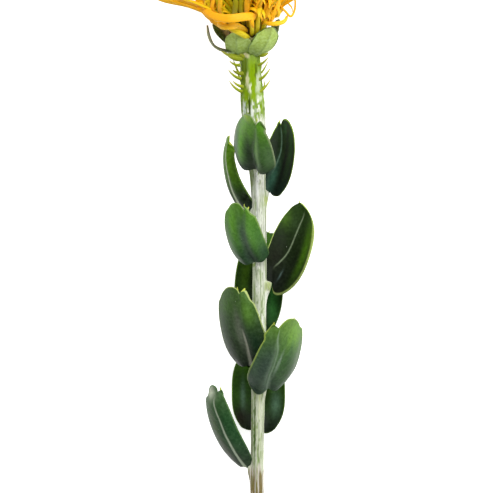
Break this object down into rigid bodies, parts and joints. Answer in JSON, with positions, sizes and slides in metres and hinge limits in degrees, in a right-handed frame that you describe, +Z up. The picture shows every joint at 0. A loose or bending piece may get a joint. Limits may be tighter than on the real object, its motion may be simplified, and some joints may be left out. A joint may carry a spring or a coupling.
{
  "type": "pincushion protea flower",
  "caption": "Cut pincushion protea lying on its side: woody stem with thick leathery leaves, a collar of small leaves, and a yellow-orange head of rolled ribbons and long knobbed styles.",
  "frame": {"origin": "on the surface that the flower lies on, under the middle of its length and width", "axes": "+Y along the stem from the cut end to the head, +Z up from the surface, +X to the right of the stem as seen from above with the head away"},
  "size_m": [0.1002, 0.322, 0.0955],
  "materials": {
    "stem": "matte",
    "leaf": "satin",
    "collar_leaf": "matte",
    "cup": "matte",
    "floret": "satin"
  },
  "bodies": {
    "root": {"stem": "stem", "leaf_01": "leaf", "leaf_02": "leaf", "leaf_03": "leaf", "leaf_04": "leaf", "leaf_05": "leaf", "leaf_06": "leaf", "leaf_07": "leaf", "leaf_08": "leaf", "leaf_09": "leaf", "leaf_10": "leaf", "collar_leaf_1": "collar_leaf", "collar_leaf_2": "collar_leaf", "collar_leaf_3": "collar_leaf", "collar_leaf_4": "collar_leaf", "collar_leaf_5": "collar_leaf", "collar_leaf_6": "collar_leaf", "cup": "cup", "flower_head": "floret"}
  },
  "joints": []
}
